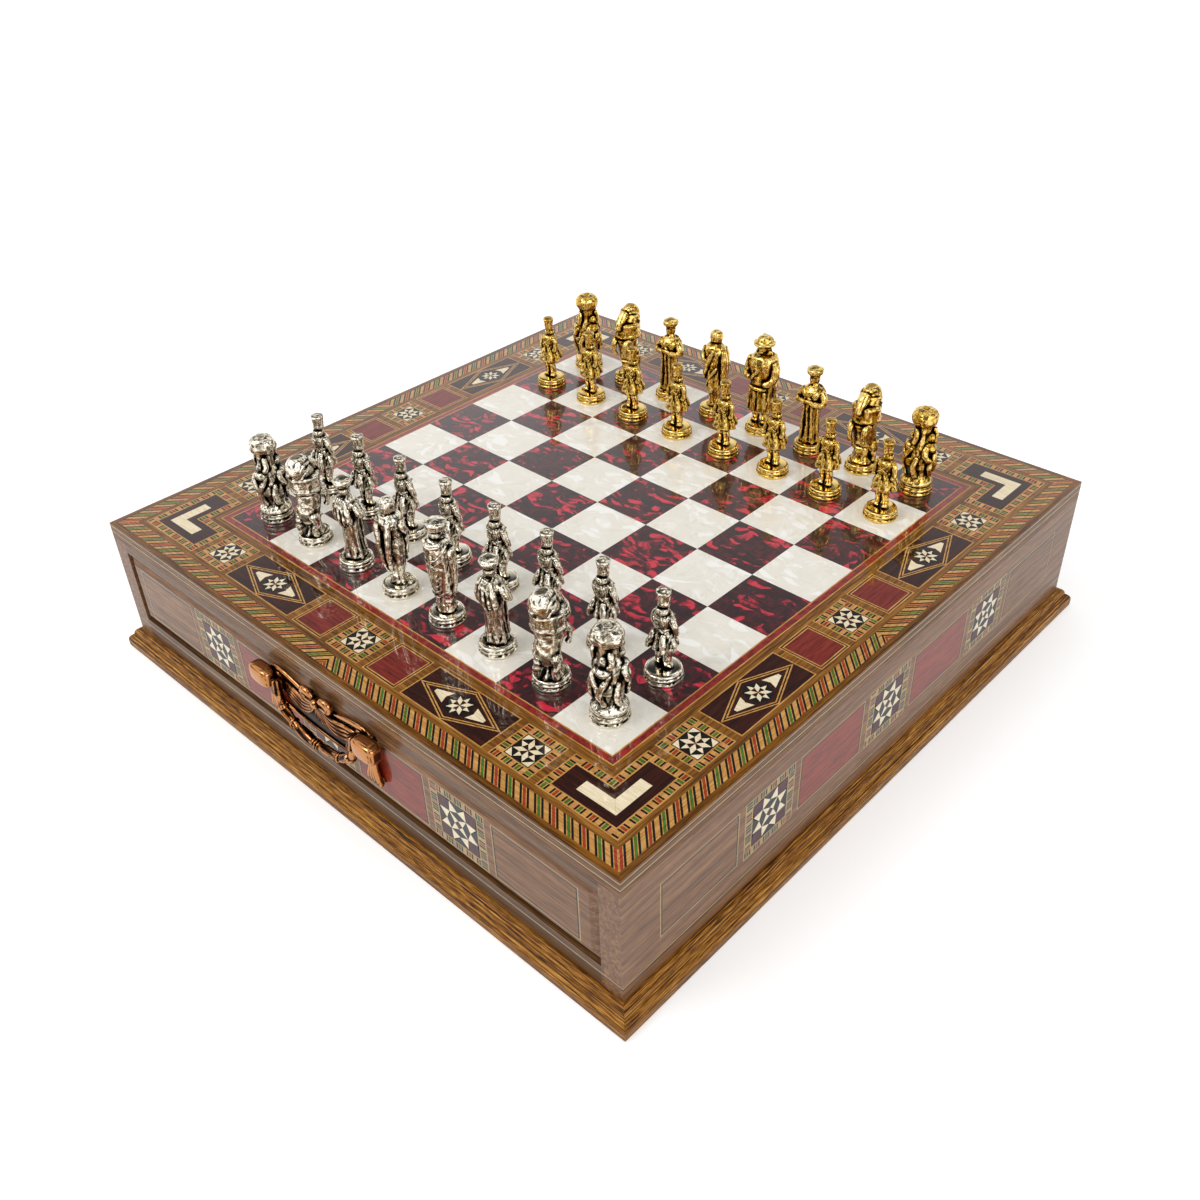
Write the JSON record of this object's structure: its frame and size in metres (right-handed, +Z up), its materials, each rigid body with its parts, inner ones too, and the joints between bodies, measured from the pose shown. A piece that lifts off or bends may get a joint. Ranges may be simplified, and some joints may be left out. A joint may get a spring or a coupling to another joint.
{
  "type": "chess box with drawers",
  "caption": "Square inlaid wooden chess box with a marquetry board on top, a drawer with a copper bail handle in the front and in the back, and standing metal figures as men.",
  "frame": {"origin": "middle of the footprint, on the surface the box stands on", "axes": "+Z up; -Y is the front, with the drawer and the silver men; +X is to the right seen from the front"},
  "size_m": [0.4156, 0.4214, 0.1533],
  "materials": {
    "walnut": "satin",
    "walnut_gloss": "gloss",
    "oak": "satin",
    "ply": "matte",
    "pearl_acrylic": "gloss",
    "ruby_pearl": "gloss",
    "boxwood": "gloss",
    "bone_white": "gloss",
    "ebony": "gloss",
    "rosewood": "gloss",
    "plum_wood": "gloss",
    "mosaic_wood": "gloss",
    "dyed_wood": "gloss",
    "antique_copper": "antiqued",
    "antique_silver": "antiqued",
    "antique_gold": "antiqued"
  },
  "bodies": {
    "case": {"base_board": "walnut", "base_moulding": "oak", "case_sides": "walnut", "case_rails": "walnut", "centre_divider": "walnut", "drawer_runners": "oak", "top_panel": "walnut_gloss", "light_squares": "pearl_acrylic", "ruby_inlays": "ruby_pearl", "stringing": "boxwood", "ivory_inlays": "bone_white", "ebony_inlays": "ebony", "rosewood_inlays": "rosewood", "dark_walnut_inlays": "plum_wood", "mosaic_bands": "mosaic_wood", "edge_strips": "dyed_wood"},
    "front_drawer": {"front_drawer_front": "walnut", "front_drawer_inlays": "rosewood", "front_drawer_box": "oak", "front_drawer_bottom": "ply", "front_handle_mount": "antique_copper"},
    "front_bail": {"front_handle_bail": "antique_copper"},
    "back_drawer": {"back_drawer_front": "walnut", "back_drawer_inlays": "rosewood", "back_drawer_box": "oak", "back_drawer_bottom": "ply", "back_handle_mount": "antique_copper"},
    "back_bail": {"back_handle_bail": "antique_copper"},
    "silver_rook_a_body": {"silver_rook_a": "antique_silver"},
    "silver_knight_b_body": {"silver_knight_b": "antique_silver"},
    "silver_bishop_c_body": {"silver_bishop_c": "antique_silver"},
    "silver_queen_d_body": {"silver_queen_d": "antique_silver"},
    "silver_king_e_body": {"silver_king_e": "antique_silver"},
    "silver_bishop_f_body": {"silver_bishop_f": "antique_silver"},
    "silver_knight_g_body": {"silver_knight_g": "antique_silver"},
    "silver_rook_h_body": {"silver_rook_h": "antique_silver"},
    "silver_pawn_a_body": {"silver_pawn_a": "antique_silver"},
    "silver_pawn_b_body": {"silver_pawn_b": "antique_silver"},
    "silver_pawn_c_body": {"silver_pawn_c": "antique_silver"},
    "silver_pawn_d_body": {"silver_pawn_d": "antique_silver"},
    "silver_pawn_e_body": {"silver_pawn_e": "antique_silver"},
    "silver_pawn_f_body": {"silver_pawn_f": "antique_silver"},
    "silver_pawn_g_body": {"silver_pawn_g": "antique_silver"},
    "silver_pawn_h_body": {"silver_pawn_h": "antique_silver"},
    "gold_rook_a_body": {"gold_rook_a": "antique_gold"},
    "gold_knight_b_body": {"gold_knight_b": "antique_gold"},
    "gold_bishop_c_body": {"gold_bishop_c": "antique_gold"},
    "gold_queen_d_body": {"gold_queen_d": "antique_gold"},
    "gold_king_e_body": {"gold_king_e": "antique_gold"},
    "gold_bishop_f_body": {"gold_bishop_f": "antique_gold"},
    "gold_knight_g_body": {"gold_knight_g": "antique_gold"},
    "gold_rook_h_body": {"gold_rook_h": "antique_gold"},
    "gold_pawn_a_body": {"gold_pawn_a": "antique_gold"},
    "gold_pawn_b_body": {"gold_pawn_b": "antique_gold"},
    "gold_pawn_c_body": {"gold_pawn_c": "antique_gold"},
    "gold_pawn_d_body": {"gold_pawn_d": "antique_gold"},
    "gold_pawn_e_body": {"gold_pawn_e": "antique_gold"},
    "gold_pawn_f_body": {"gold_pawn_f": "antique_gold"},
    "gold_pawn_g_body": {"gold_pawn_g": "antique_gold"},
    "gold_pawn_h_body": {"gold_pawn_h": "antique_gold"}
  },
  "joints": [
    {"name": "drawer_front", "type": "slide", "parent": "case", "child": "front_drawer", "axis": [0, -1, 0], "range_m": [0, 0.15]},
    {"name": "drawer_back", "type": "slide", "parent": "case", "child": "back_drawer", "axis": [0, 1, 0], "range_m": [0, 0.15]},
    {"name": "handle_front", "type": "hinge", "parent": "front_drawer", "child": "front_bail", "pos_m": [0, -0.2062, 0.0653], "axis": [-1, 0, 0], "range_deg": [0, 90]},
    {"name": "handle_back", "type": "hinge", "parent": "back_drawer", "child": "back_bail", "pos_m": [0, 0.2062, 0.0653], "axis": [1, 0, 0], "range_deg": [0, 90]},
    {"name": "lift_silver_rook_a", "type": "slide", "parent": "case", "child": "silver_rook_a_body", "axis": [0, 0, 1], "range_m": [0, 0.09]},
    {"name": "lift_silver_knight_b", "type": "slide", "parent": "case", "child": "silver_knight_b_body", "axis": [0, 0, 1], "range_m": [0, 0.09]},
    {"name": "lift_silver_bishop_c", "type": "slide", "parent": "case", "child": "silver_bishop_c_body", "axis": [0, 0, 1], "range_m": [0, 0.09]},
    {"name": "lift_silver_queen_d", "type": "slide", "parent": "case", "child": "silver_queen_d_body", "axis": [0, 0, 1], "range_m": [0, 0.09]},
    {"name": "lift_silver_king_e", "type": "slide", "parent": "case", "child": "silver_king_e_body", "axis": [0, 0, 1], "range_m": [0, 0.09]},
    {"name": "lift_silver_bishop_f", "type": "slide", "parent": "case", "child": "silver_bishop_f_body", "axis": [0, 0, 1], "range_m": [0, 0.09]},
    {"name": "lift_silver_knight_g", "type": "slide", "parent": "case", "child": "silver_knight_g_body", "axis": [0, 0, 1], "range_m": [0, 0.09]},
    {"name": "lift_silver_rook_h", "type": "slide", "parent": "case", "child": "silver_rook_h_body", "axis": [0, 0, 1], "range_m": [0, 0.09]},
    {"name": "lift_silver_pawn_a", "type": "slide", "parent": "case", "child": "silver_pawn_a_body", "axis": [0, 0, 1], "range_m": [0, 0.09]},
    {"name": "lift_silver_pawn_b", "type": "slide", "parent": "case", "child": "silver_pawn_b_body", "axis": [0, 0, 1], "range_m": [0, 0.09]},
    {"name": "lift_silver_pawn_c", "type": "slide", "parent": "case", "child": "silver_pawn_c_body", "axis": [0, 0, 1], "range_m": [0, 0.09]},
    {"name": "lift_silver_pawn_d", "type": "slide", "parent": "case", "child": "silver_pawn_d_body", "axis": [0, 0, 1], "range_m": [0, 0.09]},
    {"name": "lift_silver_pawn_e", "type": "slide", "parent": "case", "child": "silver_pawn_e_body", "axis": [0, 0, 1], "range_m": [0, 0.09]},
    {"name": "lift_silver_pawn_f", "type": "slide", "parent": "case", "child": "silver_pawn_f_body", "axis": [0, 0, 1], "range_m": [0, 0.09]},
    {"name": "lift_silver_pawn_g", "type": "slide", "parent": "case", "child": "silver_pawn_g_body", "axis": [0, 0, 1], "range_m": [0, 0.09]},
    {"name": "lift_silver_pawn_h", "type": "slide", "parent": "case", "child": "silver_pawn_h_body", "axis": [0, 0, 1], "range_m": [0, 0.09]},
    {"name": "lift_gold_rook_a", "type": "slide", "parent": "case", "child": "gold_rook_a_body", "axis": [0, 0, 1], "range_m": [0, 0.09]},
    {"name": "lift_gold_knight_b", "type": "slide", "parent": "case", "child": "gold_knight_b_body", "axis": [0, 0, 1], "range_m": [0, 0.09]},
    {"name": "lift_gold_bishop_c", "type": "slide", "parent": "case", "child": "gold_bishop_c_body", "axis": [0, 0, 1], "range_m": [0, 0.09]},
    {"name": "lift_gold_queen_d", "type": "slide", "parent": "case", "child": "gold_queen_d_body", "axis": [0, 0, 1], "range_m": [0, 0.09]},
    {"name": "lift_gold_king_e", "type": "slide", "parent": "case", "child": "gold_king_e_body", "axis": [0, 0, 1], "range_m": [0, 0.09]},
    {"name": "lift_gold_bishop_f", "type": "slide", "parent": "case", "child": "gold_bishop_f_body", "axis": [0, 0, 1], "range_m": [0, 0.09]},
    {"name": "lift_gold_knight_g", "type": "slide", "parent": "case", "child": "gold_knight_g_body", "axis": [0, 0, 1], "range_m": [0, 0.09]},
    {"name": "lift_gold_rook_h", "type": "slide", "parent": "case", "child": "gold_rook_h_body", "axis": [0, 0, 1], "range_m": [0, 0.09]},
    {"name": "lift_gold_pawn_a", "type": "slide", "parent": "case", "child": "gold_pawn_a_body", "axis": [0, 0, 1], "range_m": [0, 0.09]},
    {"name": "lift_gold_pawn_b", "type": "slide", "parent": "case", "child": "gold_pawn_b_body", "axis": [0, 0, 1], "range_m": [0, 0.09]},
    {"name": "lift_gold_pawn_c", "type": "slide", "parent": "case", "child": "gold_pawn_c_body", "axis": [0, 0, 1], "range_m": [0, 0.09]},
    {"name": "lift_gold_pawn_d", "type": "slide", "parent": "case", "child": "gold_pawn_d_body", "axis": [0, 0, 1], "range_m": [0, 0.09]},
    {"name": "lift_gold_pawn_e", "type": "slide", "parent": "case", "child": "gold_pawn_e_body", "axis": [0, 0, 1], "range_m": [0, 0.09]},
    {"name": "lift_gold_pawn_f", "type": "slide", "parent": "case", "child": "gold_pawn_f_body", "axis": [0, 0, 1], "range_m": [0, 0.09]},
    {"name": "lift_gold_pawn_g", "type": "slide", "parent": "case", "child": "gold_pawn_g_body", "axis": [0, 0, 1], "range_m": [0, 0.09]},
    {"name": "lift_gold_pawn_h", "type": "slide", "parent": "case", "child": "gold_pawn_h_body", "axis": [0, 0, 1], "range_m": [0, 0.09]}
  ]
}
